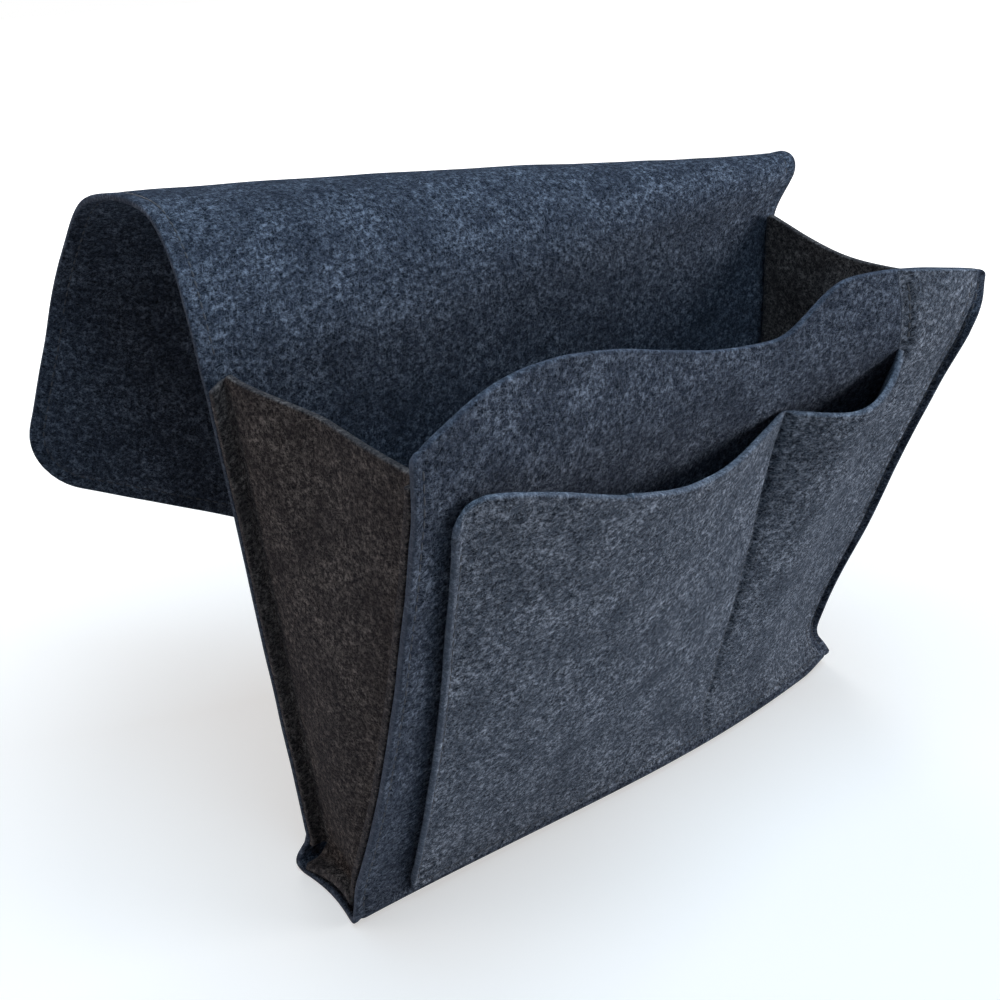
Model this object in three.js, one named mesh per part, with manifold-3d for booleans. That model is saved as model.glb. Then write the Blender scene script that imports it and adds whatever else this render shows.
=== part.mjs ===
// A felt bedside caddy. One long felt sheet makes the flap, the back, the base and the front, two
// gussets close its sides, and a pocket piece is sewn on the front. Millimetres, +Z up, front to -Y.
// The origin is on the floor, under the middle of the base.
import * as THREE from "three";
import { mergeVertices } from "three/addons/utils/BufferGeometryUtils.js";
import Module from "manifold-3d";

const wasm = await Module();
wasm.setup();

const degrees = THREE.MathUtils.degToRad;

// Felt and thread
const feltThickness = 3;
const layerGap = 0.3; // room between two layers that are sewn together
const threadRadius = 0.5;

// The long sheet
const sheetWidth = 320;
const sheetLength = 553; // from the floor line of the back to the end of the flap
const flapCornerRadius = 30;
const baseDepth = 50;
const foldRadius = 6; // at the middle of the felt, where the base turns up

// The fold over the bed edge is a cone, because the flap hangs a little askew
const foldApexOut = 52; // beyond the right edge, where all fold lines meet
const foldApexHeight = 276.5;
const foldSlope = degrees(7.1); // the first fold line falls to the left
const foldConeAngle = degrees(11.2);
const foldTurn = degrees(176); // round the axis of the cone

// The front
const frontLean = degrees(18.7);
const frontRun = 221; // straight part, measured up the slope
const rimRadius = 88; // the upper part turns upright over this radius
const frontHeight = 253; // up the slope, at both top corners
const flatEdge = 10; // a strip along each side that does not bow
const footBulge = 15; // how far the foot of the front bows out
const rimDip = 10; // how far the upper front bows in
const frontTwist = 6; // half way up, the right side bows in and the left side out
const dipStart = 89; // up the slope, where the bow inwards begins
const leftShoulderInset = 52;
const leftShoulderRise = 17;
const scoopInset = 132; // from the right side to the lowest point of the top edge
const scoopDrop = 7.5;
const rightShoulderInset = 90;
const rightShoulderRise = 10.5;

// The gussets
const seamMargin = 8; // felt outside the gusset wall, sewn to the sheet
const gussetBackHeight = 245.5;
const gussetFrontHeight = 249; // up the slope of the front
const leftGussetSag = 1;
const rightGussetSag = 3;

// The pocket piece, measured from its left edge along its mouth
const pocketInsetLeftTop = 14; // from the side of the front to the pocket piece
const pocketInsetLeftFoot = 28;
const pocketInsetRight = 10;
const pocketFootHeight = 4; // up the slope
const pocketCornerRadius = 14;
const smallMouthWidth = 69;
const stripWidth = 40; // sewn down, to the right of the small mouth and up to the top edge
const stripLean = 18; // the strip grows wider on its way up
const pocketLeftDrop = 18; // below the front's top corners, down the slope, as the next three
const largeMouthDrop = 48;
const largeMouthLowInset = 39; // from the divider back to the lowest point of the large mouth
const smallMouthDrop = 42;
const smallMouthRiseAt = 22; // past the divider, where the small mouth runs level
const mouthTipDrop = 24; // to the small mouth's pointed right end
const mouthTipRun = 26; // width over which the small mouth climbs to its tip
const largePocketBulge = 20;
const smallPocketBulge = 16;
const bulgeGrowth = 1.3; // how the bulge grows from the foot to the mouth

// Stitching
const seamInset = 4; // from a raw edge to the stitching of the side seams
const edgeStitchInset = 6.5; // from the raw edge of the flap to its stitching
const pocketStitchInset = 3;
const seamEndGap = 6; // from the end of a seam to the end of its edge

const pocketLeftHeight = frontHeight - pocketLeftDrop;
const largeMouthLow = frontHeight - largeMouthDrop;
const smallMouthHeight = frontHeight - smallMouthDrop;
const smallMouthTip = frontHeight - mouthTipDrop;
const halfWidth = sheetWidth / 2;
const halfFelt = feltThickness / 2;
const layerStep = feltThickness + layerGap; // middle of one layer to the middle of the next
const threadStep = halfFelt + layerGap + threadRadius; // middle of the felt to the middle of a thread
const rearY = baseDepth / 2 - halfFelt; // middle of the back
const frontFoldY = -baseDepth / 2 + halfFelt + foldRadius; // where the base starts to turn up
const backFoldY = rearY - foldRadius;
const footTurn = Math.PI / 2 - frontLean;
const rimTurnLength = rimRadius * frontLean;
const backFoldLength = foldRadius * (Math.PI / 2);
const baseRun = backFoldY - frontFoldY;
const frontFoldLength = foldRadius * footTurn;
const wrapLength = backFoldLength + baseRun + frontFoldLength;
const wallX = halfWidth - seamMargin;

const clamp = THREE.MathUtils.clamp;
const lerp = THREE.MathUtils.lerp;
const smooth = (t) => THREE.MathUtils.smoothstep(t, 0, 1);
const eased = (a, b, t) => lerp(a, b, (1 - Math.cos(Math.PI * clamp(t, 0, 1))) / 2);
const quarter = (t) => Math.sin((Math.PI / 2) * clamp(t, 0, 1));
const steps = (from, to, count) => {
  return Array.from({ length: count + 1 }, (_, i) => lerp(from, to, i / count));
};

// The back, the fold and the flap: a point of the flat sheet, x across and s up from the floor
const foldApex = new THREE.Vector3(halfWidth + foldApexOut, rearY, foldApexHeight);
const firstRuling = new THREE.Vector3(-Math.cos(foldSlope), 0, -Math.sin(foldSlope));
const upSheet = new THREE.Vector3(-Math.sin(foldSlope), 0, Math.cos(foldSlope));
const coneAxis = firstRuling
  .clone()
  .multiplyScalar(Math.cos(foldConeAngle))
  .add(new THREE.Vector3(0, Math.sin(foldConeAngle), 0));
const foldSector = foldTurn * Math.sin(foldConeAngle); // the fold's angle on the flat sheet

function backSheet(x, s) {
  const dx = x - foldApex.x;
  const ds = s - foldApex.z;
  const reach = Math.hypot(dx, ds);
  const angle = Math.atan2(ds, -dx) + foldSlope;
  const bent = clamp(angle, 0, foldSector);
  const turn = bent / Math.sin(foldConeAngle);
  const along = firstRuling.clone().applyAxisAngle(coneAxis, turn);
  const across = upSheet.clone().applyAxisAngle(coneAxis, turn);
  return foldApex
    .clone()
    .addScaledVector(along, reach * Math.cos(angle - bent))
    .addScaledVector(across, reach * Math.sin(angle - bent));
}

// Height on the flat sheet of the fold line that is this share of the way round the fold
function foldLine(x, share) {
  return foldApexHeight + (foldApex.x - x) * Math.tan(share * foldSector - foldSlope);
}

// The bow across the front: 1 in the middle, 0 on the strips along the sides
function bowAcross(x) {
  const span = halfWidth - flatEdge;
  return Math.abs(x) < span ? Math.cos((Math.PI * x) / (2 * span)) ** 2 : 0;
}

// The base with its two folds: w runs from the back over the base to the front
function baseSheet(x, w) {
  const bow = footBulge * bowAcross(x);
  if (w < backFoldLength) {
    const turn = w / foldRadius;
    const y = backFoldY + foldRadius * Math.cos(turn);
    return new THREE.Vector3(x, y, halfFelt + foldRadius * (1 - Math.sin(turn)));
  }
  const onBase = w - backFoldLength;
  if (onBase < baseRun) {
    return new THREE.Vector3(x, backFoldY - onBase * (1 + bow / baseRun), halfFelt);
  }
  const turn = (onBase - baseRun) / foldRadius;
  const y = frontFoldY - bow - foldRadius * Math.sin(turn);
  return new THREE.Vector3(x, y, halfFelt + foldRadius * (1 - Math.cos(turn)));
}

// The front: s runs up its slope from the end of the fold
function frontSheet(x, s) {
  const straight = Math.min(s, frontRun);
  const turn = clamp((s - frontRun) / rimRadius, 0, frontLean);
  const upright = Math.max(0, s - frontRun - rimTurnLength);
  const foot = footBulge * Math.max(0, 1 - s / frontRun) ** 2;
  const dip = rimDip * smooth((s - dipStart) / (frontRun - dipStart));
  const start = baseSheet(halfWidth, wrapLength);
  const lean = straight * Math.sin(frontLean);
  const rimLean = rimRadius * (Math.cos(frontLean - turn) - Math.cos(frontLean));
  const rimRise = rimRadius * (Math.sin(frontLean) - Math.sin(frontLean - turn));
  const twist = frontTwist * (x / halfWidth) * Math.sin((Math.PI * straight) / frontRun);
  const y = start.y - lean - rimLean - (foot - dip) * bowAcross(x) + twist;
  const z = start.z + straight * Math.cos(frontLean) + rimRise + upright;
  return new THREE.Vector3(x, y, z);
}

// The cut top edge of the front: two shoulders with a scoop between them
function frontEdge(x) {
  const leftPeak = leftShoulderInset - halfWidth;
  const scoop = halfWidth - scoopInset;
  const rightPeak = halfWidth - rightShoulderInset;
  const left = frontHeight + leftShoulderRise;
  const low = frontHeight - scoopDrop;
  const right = frontHeight + rightShoulderRise;
  if (x < leftPeak) {
    return frontHeight + leftShoulderRise * quarter((x + halfWidth) / leftShoulderInset);
  }
  if (x < scoop) return eased(left, low, (x - leftPeak) / (scoop - leftPeak));
  if (x < rightPeak) return eased(low, right, (x - scoop) / (rightPeak - scoop));
  return frontHeight + rightShoulderRise * quarter((halfWidth - x) / rightShoulderInset);
}

// The pocket piece: a runs along its mouth from its left edge, v from its foot to its mouth
const pocketLeftTop = pocketInsetLeftTop - halfWidth;
const pocketLeftFoot = pocketInsetLeftFoot - halfWidth;
const pocketRight = halfWidth - pocketInsetRight;
const pocketWidth = pocketRight - pocketLeftTop;
const smallMouthEnd = pocketWidth - stripWidth;
const largeMouthWidth = smallMouthEnd - smallMouthWidth;
const largeMouthLowAt = largeMouthWidth - largeMouthLowInset;

function pocketEdge(a) {
  const level = largeMouthWidth + smallMouthRiseAt;
  const climb = smallMouthEnd - mouthTipRun;
  if (a > climb) return lerp(smallMouthTip, smallMouthHeight, quarter((smallMouthEnd - a) / mouthTipRun));
  if (a > level) return smallMouthHeight;
  if (a > largeMouthLowAt) {
    return eased(largeMouthLow, smallMouthHeight, (a - largeMouthLowAt) / (level - largeMouthLowAt));
  }
  const fromCorner = clamp(pocketCornerRadius - a, 0, pocketCornerRadius);
  const corner = pocketCornerRadius - Math.sqrt(pocketCornerRadius ** 2 - fromCorner ** 2);
  return eased(pocketLeftHeight, largeMouthLow, a / largeMouthLowAt) - corner;
}

function pocketBulge(a, v) {
  const lift = Math.max(0, v) ** bulgeGrowth;
  if (a < largeMouthWidth) return largePocketBulge * lift * Math.sin((Math.PI * a) / largeMouthWidth);
  if (a > smallMouthEnd) return 0;
  return smallPocketBulge * lift * Math.sin((Math.PI * (a - largeMouthWidth)) / smallMouthWidth);
}

// Beyond v = 1 the strip goes on, from the tip of the small mouth to the top edge of the front
function pocketSheet(a, v) {
  const stripStart = smallMouthEnd - stripWidth / 10; // a little early, for the normal at its edge
  if (v > 1 && a > stripStart) {
    const edge = pocketLeftTop + smallMouthEnd - stripLean * (v - 1);
    const x = lerp(edge, pocketRight, (a - smallMouthEnd) / stripWidth);
    const s = lerp(smallMouthTip, frontEdge(x), v - 1);
    return offset(frontSheet, x, s, layerStep);
  }
  const leftEdge = lerp(pocketLeftFoot, pocketLeftTop, v);
  const x = lerp(leftEdge, pocketRight, a / pocketWidth);
  const s = lerp(pocketFootHeight, pocketEdge(a), v);
  return offset(frontSheet, x, s, layerStep + pocketBulge(a, v));
}

// The normal of a sheet on the side that its first direction crossed with its second points to
function normalAt(sheet, a, b) {
  const reach = 1e-3;
  const alongA = sheet(a + reach, b).sub(sheet(a - reach, b));
  const alongB = sheet(a, b + reach).sub(sheet(a, b - reach));
  return alongA.cross(alongB).normalize();
}

function offset(sheet, a, b, height) {
  return sheet(a, b).addScaledVector(normalAt(sheet, a, b), height);
}

// A closed layer of felt over the kept cells of a grid of points on both of its faces
function feltGeometry(facePoint, columns, rows, keeps = () => true) {
  const positions = [];
  const index = [];
  const across = columns.length;
  const layer = across * rows.length;
  for (const height of [halfFelt, -halfFelt]) {
    for (const b of rows) {
      for (const a of columns) positions.push(...facePoint(a, b, height).toArray());
    }
  }
  const quad = (p, q, r, t) => index.push(p, q, r, p, r, t);
  const at = (column, row) => row * across + column;
  const inside = (column, row) => {
    return column >= 0 && column + 1 < across && row >= 0 && row + 1 < rows.length && keeps(column, row);
  };
  for (let row = 0; row + 1 < rows.length; row++) {
    for (let column = 0; column + 1 < across; column++) {
      if (!inside(column, row)) continue;
      const [p, q] = [at(column, row), at(column + 1, row)];
      const [t, r] = [at(column, row + 1), at(column + 1, row + 1)];
      quad(p, q, r, t);
      quad(layer + p, layer + t, layer + r, layer + q);
      if (!inside(column - 1, row)) quad(p, t, layer + t, layer + p);
      if (!inside(column + 1, row)) quad(q, layer + q, layer + r, r);
      if (!inside(column, row - 1)) quad(p, layer + p, layer + q, q);
      if (!inside(column, row + 1)) quad(t, r, layer + r, layer + t);
    }
  }
  const geometry = new THREE.BufferGeometry();
  geometry.setAttribute("position", new THREE.Float32BufferAttribute(positions, 3));
  geometry.setIndex(index);
  return mergeVertices(geometry, 1e-4);
}

// A thread through points, as one unbroken round cord
function threadGeometry(points) {
  const path = new THREE.CatmullRomCurve3(points, false, "centripetal");
  const section = new THREE.Shape().absarc(0, 0, threadRadius, 0, 2 * Math.PI, false);
  return new THREE.ExtrudeGeometry(section, {
    steps: (points.length - 1) * 2,
    curveSegments: 3,
    bevelEnabled: false,
    extrudePath: path,
  });
}

function solidFrom(geometry) {
  const bare = geometry.clone();
  bare.deleteAttribute("normal");
  bare.deleteAttribute("uv");
  const merged = mergeVertices(bare, 1e-4);
  return new wasm.Manifold(
    new wasm.Mesh({
      numProp: 3,
      vertProperties: new Float32Array(merged.attributes.position.array),
      triVerts: new Uint32Array(merged.index.array),
    }),
  );
}

function geometryFrom(solid) {
  const mesh = solid.getMesh();
  const geometry = new THREE.BufferGeometry();
  geometry.setAttribute("position", new THREE.BufferAttribute(mesh.vertProperties, 3));
  geometry.setIndex(new THREE.BufferAttribute(mesh.triVerts, 1));
  return geometry;
}

const caddy = new THREE.Group();

function addFelt(name, geometry, color = 0x3c434f) {
  const material = new THREE.MeshStandardMaterial({ color, roughness: 0.95, metalness: 0 });
  const mesh = new THREE.Mesh(geometry, material);
  mesh.name = name;
  caddy.add(mesh);
}

function addThread(name, points) {
  const material = new THREE.MeshStandardMaterial({ color: 0x191b20, roughness: 0.7, metalness: 0 });
  const mesh = new THREE.Mesh(threadGeometry(points), material);
  mesh.name = name;
  caddy.add(mesh);
}

// The panels of the long sheet, parted by the layer gap where they meet
const backFoot = halfFelt + foldRadius + layerGap;

function addLongSheet() {
  const onSheet = (x, s, height) => offset(backSheet, x, s, height);
  const toFirstLine = (x, v, height) => {
    return onSheet(x, lerp(backFoot, foldLine(x, 0) - layerGap, v), height);
  };
  addFelt("back_panel", feltGeometry(toFirstLine, [-halfWidth, halfWidth], [0, 1]));

  const roundFold = (x, share, height) => onSheet(x, foldLine(x, share), height);
  addFelt("ridge_bend", feltGeometry(roundFold, steps(-halfWidth, halfWidth, 12), steps(0, 1, 20)));

  const cornerFall = (x) => {
    const inCorner = Math.max(0, Math.abs(x) - halfWidth + flapCornerRadius);
    return flapCornerRadius - Math.sqrt(flapCornerRadius ** 2 - inCorner ** 2);
  };
  const toEnd = (x, v, height) => {
    return onSheet(x, lerp(foldLine(x, 1) + layerGap, sheetLength - cornerFall(x), v), height);
  };
  const cornerTurns = steps(0, Math.PI / 2, 6).map((turn) => flapCornerRadius * (1 - Math.sin(turn)));
  const rightColumns = cornerTurns.map((inset) => halfWidth - inset).reverse();
  const leftColumns = rightColumns.map((x) => -x).reverse();
  const columns = [...leftColumns, ...rightColumns].sort((a, b) => a - b);
  addFelt("tuck_flap", feltGeometry(toEnd, columns, [0, 1]));

  const onBase = (x, w, height) => offset(baseSheet, x, w, height);
  const baseRows = [
    ...steps(0, backFoldLength, 4),
    ...steps(backFoldLength, backFoldLength + baseRun, 1).slice(1),
    ...steps(wrapLength - frontFoldLength, wrapLength, 4).slice(1),
  ];
  addFelt("base_panel", feltGeometry(onBase, steps(-halfWidth, halfWidth, 16), baseRows));

  const upFront = (x, v) => (v < 1 ? lerp(layerGap, frontRun, v) : lerp(frontRun, frontEdge(x), v - 1));
  const onFront = (x, v, height) => offset(frontSheet, x, upFront(x, v), height);
  const frontRows = [...steps(0, 1, 10), ...steps(1, 2, 6).slice(1)];
  addFelt("front_panel", feltGeometry(onFront, steps(-halfWidth, halfWidth, 32), frontRows), 0x3d424c);
}

// A gusset: a wall with a margin all round that lies against the sheet
function gussetRim(side) {
  const rim = [];
  for (const s of steps(gussetBackHeight, backFoot, 40)) {
    rim.push((x, height) => offset(backSheet, x, s, layerStep - height));
  }
  for (const w of steps(0, backFoldLength, 3)) {
    rim.push((x, height) => offset(baseSheet, x, w, height - layerStep));
  }
  for (const w of steps(wrapLength - frontFoldLength, wrapLength, 3)) {
    rim.push((x, height) => offset(baseSheet, x, w, height - layerStep));
  }
  const upFront = [...steps(layerGap, frontRun, 8), ...steps(frontRun, gussetFrontHeight, 4).slice(1)];
  for (const s of upFront) {
    rim.push((x, height) => offset(frontSheet, x, s, height - layerStep));
  }
  return { rim, inner: side * (wallX - halfFelt), outer: side * halfWidth, wall: side * wallX };
}

function addGusset(name, side, sag) {
  const { rim, inner, outer, wall } = gussetRim(side);
  const columns = [inner, outer].sort((a, b) => a - b);
  const onRim = (x, row, height) => rim[row](x, height);
  const margin = feltGeometry(onRim, columns, rim.map((_, row) => row));

  const around = rim.map((point) => point(wall, 0));
  const [backTop, frontTop] = [around[0], around[around.length - 1]];
  const topEdge = steps(0, 1, 10).slice(1, -1).map((t) => {
    const level = lerp(frontTop.z, backTop.z, t);
    return new THREE.Vector2(lerp(frontTop.y, backTop.y, t), level - sag * Math.sin(Math.PI * t));
  });
  const outline = [...around.map((p) => new THREE.Vector2(p.y, p.z)), ...topEdge];
  const panel = new THREE.ExtrudeGeometry(new THREE.Shape(outline), {
    depth: feltThickness,
    bevelEnabled: false,
  });
  // The outline is drawn in y and z and pushed out along x
  const alongX = new THREE.Vector3(1, 0, 0);
  const alongY = new THREE.Vector3(0, 1, 0);
  const alongZ = new THREE.Vector3(0, 0, 1);
  panel.applyMatrix4(new THREE.Matrix4().makeBasis(alongY, alongZ, alongX));
  panel.translate(wall - halfFelt, 0, 0);
  addFelt(name, geometryFrom(solidFrom(margin).add(solidFrom(panel))), 0x3a3736);
}

function addPocketPiece() {
  const columns = [
    ...steps(0, pocketCornerRadius, 4),
    ...steps(pocketCornerRadius, largeMouthWidth, 13).slice(1),
    ...steps(largeMouthWidth, smallMouthEnd, 8).slice(1),
    ...steps(smallMouthEnd, pocketWidth, 4).slice(1),
  ];
  const upper = 0.86; // share of the height where the front begins to turn upright
  const rows = [...steps(0, upper, 9), ...steps(upper, 1, 5).slice(1), ...steps(1, 2, 5).slice(1)];
  const onPocket = (a, v, height) => offset(pocketSheet, a, v, height);
  const keeps = (column, row) => rows[row] < 1 || columns[column] >= smallMouthEnd;
  addFelt("pocket_panel", feltGeometry(onPocket, columns, rows, keeps), 0x414753);
}

// Stitching along the edges, each run a thread just off the felt
function addSideSeams(name, side) {
  const x = side * (halfWidth - seamInset);
  const onBack = steps(backFoot + seamEndGap, gussetBackHeight - seamEndGap, 20);
  addThread(
    `${name}_back_seam`,
    onBack.map((s) => offset(backSheet, x, s, layerStep + threadStep)),
  );
  const onBase = steps(backFoldLength + seamEndGap, wrapLength - frontFoldLength - seamEndGap, 2);
  addThread(
    `${name}_base_seam`,
    onBase.map((w) => offset(baseSheet, x, w, -layerStep - threadStep)),
  );
  const onFront = [
    ...steps(seamEndGap, frontRun, 8),
    ...steps(frontRun, frontHeight - seamEndGap, 5).slice(1),
  ];
  addThread(
    `${name}_front_seam`,
    onFront.map((s) => offset(frontSheet, x, s, threadStep)),
  );
}

function addFlapStitching() {
  const x = halfWidth - edgeStitchInset;
  const onSheet = (px, s) => offset(backSheet, px, s, threadStep);
  for (const [name, side] of [["left", -1], ["right", 1]]) {
    const from = Math.max(gussetBackHeight + seamEndGap, foldLine(side * x, 0) + seamEndGap / 2);
    const to = foldLine(side * x, 1) - seamEndGap / 2;
    addThread(
      `${name}_ridge_stitch`,
      steps(from, to, 14).map((s) => onSheet(side * x, s)),
    );
  }
  const turnRadius = flapCornerRadius - edgeStitchInset;
  const end = sheetLength - edgeStitchInset;
  const corner = (side, turn) => {
    const cx = side * (x - turnRadius);
    return onSheet(cx + side * turnRadius * Math.cos(turn), end - turnRadius * (1 - Math.sin(turn)));
  };
  const turns = steps(0, Math.PI / 2, 4);
  addThread("flap_stitch", [
    onSheet(-x, foldLine(-x, 1) + seamEndGap),
    ...turns.map((turn) => corner(-1, turn)),
    ...[...turns].reverse().map((turn) => corner(1, turn)),
    onSheet(x, foldLine(x, 1) + seamEndGap),
  ]);
}

function addPocketSeams() {
  const onPocket = (a, v) => offset(pocketSheet, a, v, threadStep);
  const low = pocketStitchInset / largeMouthLow; // as a share of the way up the pocket piece
  const heights = steps(2 * low, 1 - low, 12);
  const leftHeights = steps(2 * low, 1 - pocketCornerRadius / pocketLeftHeight - low, 12);
  const right = pocketWidth - pocketStitchInset;
  addThread("pocket_left_seam", leftHeights.map((v) => onPocket(pocketStitchInset, v)));
  addThread("pocket_divider_seam", heights.map((v) => onPocket(largeMouthWidth, v)));
  const rightHeights = [...heights.slice(0, -1), ...steps(1, 2 - 4 * low, 4)];
  addThread("pocket_right_seam", rightHeights.map((v) => onPocket(right, v)));
  addThread("pocket_foot_seam", steps(pocketStitchInset, right, 16).map((a) => onPocket(a, low)));
  const stripHeights = steps(1 + 4 * low, 2 - 4 * low, 4);
  const mouthEnd = stripHeights.map((v) => onPocket(smallMouthEnd + pocketStitchInset, v));
  addThread("mouth_end_stitch", mouthEnd);
}

addLongSheet();
addGusset("left_gusset", -1, leftGussetSag);
addGusset("right_gusset", 1, rightGussetSag);
addPocketPiece();
addSideSeams("left", -1);
addSideSeams("right", 1);
addFlapStitching();
addPocketSeams();

export default caddy;
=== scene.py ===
from math import atan2, ceil, copysign, cos, exp, hypot, pi, radians, sin, sqrt, tan

import bmesh
import bpy
from mathutils import Matrix, Vector, noise


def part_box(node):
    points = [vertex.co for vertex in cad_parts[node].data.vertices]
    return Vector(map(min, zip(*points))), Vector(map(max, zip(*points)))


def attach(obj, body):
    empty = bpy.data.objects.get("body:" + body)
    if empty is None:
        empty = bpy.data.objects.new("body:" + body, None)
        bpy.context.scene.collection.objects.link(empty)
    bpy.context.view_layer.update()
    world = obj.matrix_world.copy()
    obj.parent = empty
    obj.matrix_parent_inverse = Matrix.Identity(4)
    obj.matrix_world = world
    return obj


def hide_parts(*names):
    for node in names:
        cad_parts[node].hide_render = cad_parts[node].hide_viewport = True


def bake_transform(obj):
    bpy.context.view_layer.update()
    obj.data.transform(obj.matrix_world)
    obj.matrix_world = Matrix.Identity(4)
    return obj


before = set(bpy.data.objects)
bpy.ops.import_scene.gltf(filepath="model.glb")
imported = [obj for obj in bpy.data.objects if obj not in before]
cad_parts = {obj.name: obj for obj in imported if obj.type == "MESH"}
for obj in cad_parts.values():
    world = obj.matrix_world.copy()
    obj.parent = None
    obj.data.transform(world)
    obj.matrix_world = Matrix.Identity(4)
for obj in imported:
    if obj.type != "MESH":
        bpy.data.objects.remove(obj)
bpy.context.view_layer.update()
print("frame loaded:", len(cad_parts), "nodes")

# the felt, as the frame gives it
backLow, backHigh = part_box("back_panel")
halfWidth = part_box("base_panel")[1].x
halfFelt = (backHigh.y - backLow.y) / 2
rearY = backHigh.y - halfFelt  # middle of the back
felt = {
    "gap": 0.0003,  # between two sewn layers
    "edgeRound": 0.0007,
    "paleEdgeAndHighlight": 0.2,  # how far a cut edge shows paler fibres and a painted highlight
    # left-facing cut edges: paler fibres and a stronger painted highlight, over the width below
    "leftPaleEdgeAndHighlight": 0.5,
    "leftHighlightWidth": 0.002,
    "step": 0.004,  # mesh spacing away from edges and seams
    "sharpTurn": 1,  # edges that turn more than this, in radians, are rounded
    "upward": 0.9,  # faces that face less straight up or down are cut edges
    "wander": 0.0005,  # soft unevenness of a sewn felt bag
    "wanderScale": 38,
}
layerStep = 2 * halfFelt + felt["gap"]
noise.seed_set(5)  # the same unevenness each time

# stitching: rows of short threads that draw the felt in
seams = {
    "inset": 0.004,
    "pocketInset": 0.003,
    "endGap": 0.006,
    "pinch": 0.40,  # share of the felt's thickness that the thread draws in
    "groove": 0.0013,  # half width of the line that it leaves
    "stitch": 0.0034,
    "space": 0.0011,
    "thick": 0.00042,
    "proud": 0.25,  # share of the thread's radius by which its middle stands off the felt
    "slant": 0.06,  # each stitch against its row, in radians
    "around": 6,
    "along": 7,
    "baseGap": 0.004,
    "pathStep": 0.006,
    "ridgeStep": 0.005,
    "shortStep": 0.004,
    "cornerStep": 0.2,  # radians
}
stitchHeight = halfFelt + seams["thick"] * seams["proud"]
insideHeight = halfFelt + layerStep + seams["thick"] * seams["proud"]  # on the next layer


def clamp(t, low=0, high=1):
    return min(max(t, low), high)


def ease(t):
    t = clamp(t)
    return t * t * (3 - 2 * t)


def over(value, start, span):  # eased from 0 at start to 1 a span further on; a negative span counts down
    return ease((value - start) / span)


def mix(a, b, t):
    return a + (b - a) * t


def wave(a, b, t):  # half a cosine from a to b
    return mix(a, b, (1 - cos(pi * clamp(t))) / 2)


def quarter(t):
    return sin(pi / 2 * clamp(t))


def spaced(start, end, step):
    count = max(1, ceil(abs(end - start) / step - 1e-6))
    return [mix(start, end, i / count) for i in range(count + 1)]


def joined(*runs):  # runs that share their end points, as one list
    points = list(runs[0])
    for run in runs[1:]:
        points += run[1:]
    return points


# how the soft bag has settled: its left rear edge leans, its right edge is drawn in above the foot
# a pair says where a change starts and over what length it grows
sag = {
    "leanFoot": 0.0095,
    "leanRate": 0.078,
    "leanTop": 0.2455,
    "leanFade": 0.09,
    "leanX": (0.02, -0.18),
    "leanY": (-0.035, 0.05),
    "leanStart": (0.003, 0.012),
    "rightX": (0.09, 0.06),
    "rightY": (-0.012, -0.015),
    "pinchIn": 0.0145,
    "pinchHeight": 0.040,
    "pinchBelow": 0.038,
    "pinchAbove": 0.090,
    "spread": -0.004,  # the right edge further up
    "spreadStart": (0.09, 0.05),
    "spreadEnd": (0.215, 0.025),
    "footOut": 0.001,
    "footOutEnd": (0, 0.012),
    "footLift": 0.004,  # its lower corner, off the floor
    "liftX": (0.135, 0.025),
    "liftY": (-0.014, -0.016),
    "liftEnd": (0.006, 0.02),
    "baseTuck": 0.0035,  # the left end of the base, half way along
    "tuckX": (-0.13, -0.03),
    "tuckEnd": (0.005, 0.015),
    "tuckDepth": 0.054,
    "wanderStart": (0, 0.02),  # the underside stays flat on the floor
}


def settle(p, rise):
    left = over(p.x, *sag["leanX"]) * over(p.y, *sag["leanY"])
    lean = sag["leanFoot"] - sag["leanRate"] * min(rise, sag["leanTop"])
    lean *= left * over(rise, *sag["leanStart"]) * (1 - over(rise, sag["leanTop"], sag["leanFade"]))
    right = over(p.x, *sag["rightX"]) * over(p.y, *sag["rightY"])
    above = p.z - sag["pinchHeight"]
    pinch = 1 - ease(above / sag["pinchAbove"] if above > 0 else -above / sag["pinchBelow"])
    edge = sag["spread"] * over(p.z, *sag["spreadStart"]) * (1 - over(p.z, *sag["spreadEnd"]))
    edge -= sag["pinchIn"] * pinch
    edge += sag["footOut"] * (1 - over(p.z, *sag["footOutEnd"]))
    corner = over(p.x, *sag["liftX"]) * over(p.y, *sag["liftY"]) * (1 - over(p.z, *sag["liftEnd"]))
    tuck = sag["baseTuck"] * over(p.x, *sag["tuckX"]) * (1 - over(p.z, *sag["tuckEnd"]))
    tuck *= max(0, cos(pi * clamp(p.y / sag["tuckDepth"], -0.5, 0.5)))
    still = over(p.z, *sag["wanderStart"])
    drift = noise.noise_vector(p * felt["wanderScale"]) * felt["wander"] * still
    return Vector((p.x + lean + edge * right + tuck, p.y, p.z + sag["footLift"] * corner)) + drift


def normalAt(surface, a, b):
    reach = 1e-5
    alongA = surface(a + reach, b) - surface(a - reach, b)
    alongB = surface(a, b + reach) - surface(a, b - reach)
    return alongA.cross(alongB).normalized()


def offset(surface, a, b, height):
    return surface(a, b) + normalAt(surface, a, b) * height


def groove(distance, width=seams["groove"]):  # 1 on a line of stitches, 0 away from it
    return exp(-((distance / width) ** 2))


def cornerCut(beyond, radius):  # what a round corner takes off, this far past the side edge
    inCorner = clamp(beyond + radius, 0, radius)
    return radius - sqrt(radius**2 - inCorner**2)


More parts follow.
